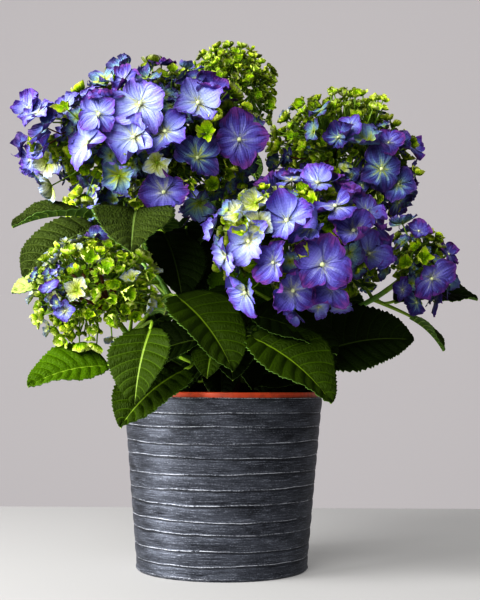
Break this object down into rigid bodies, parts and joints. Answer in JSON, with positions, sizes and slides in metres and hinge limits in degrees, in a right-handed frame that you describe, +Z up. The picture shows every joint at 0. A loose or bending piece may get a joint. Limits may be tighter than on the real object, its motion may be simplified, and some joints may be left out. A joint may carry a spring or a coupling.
{
  "type": "potted hydrangea shrub",
  "caption": "Potted hydrangea shrub: domed heads of blue-violet and lime florets over broad toothed leaves, standing in a dark ribbed round metal pot.",
  "frame": {"origin": "centre of the metal pot's flat underside, on the surface that it stands on", "axes": "+Z up along the pot's axis, +Y away from the plant's front, +X to the right as seen from the front"},
  "size_m": [0.4132, 0.3519, 0.4783],
  "materials": {
    "zinc": "dull, dark weathered zinc with rubbed ridges",
    "terracotta_plastic": "matt",
    "peat": "moist, crumbly",
    "bark": "rough, shallow cracked",
    "shoot": "green stem, faintly glossy",
    "leaf": "satin, quilted between veins",
    "blossom": "soft matt petals"
  },
  "bodies": {
    "root": {"zinc_pot": "zinc", "nursery_pot": "terracotta_plastic", "peat": "peat", "woody_stem": "bark", "shoot_left": "shoot", "shoot_upper_right": "shoot", "shoot_right": "shoot", "shoot_front": "shoot", "shoot_low_left": "shoot", "shoot_back_left": "shoot", "shoot_back": "shoot", "shoot_back_right": "shoot", "shoot_top": "shoot", "leaves_left": "leaf", "leaves_upper_right": "leaf", "leaves_right": "leaf", "leaves_front": "leaf", "leaves_low_left": "leaf", "leaves_back_left": "leaf", "leaves_back": "leaf", "leaves_back_right": "leaf", "leaves_top": "leaf", "bloom_left": "blossom", "bloom_upper_right": "blossom", "bloom_right": "blossom", "bloom_front": "blossom", "bloom_low_left": "blossom", "bloom_back_left": "blossom", "bloom_back": "blossom", "bloom_back_right": "blossom", "bloom_top": "blossom"}
  },
  "joints": []
}
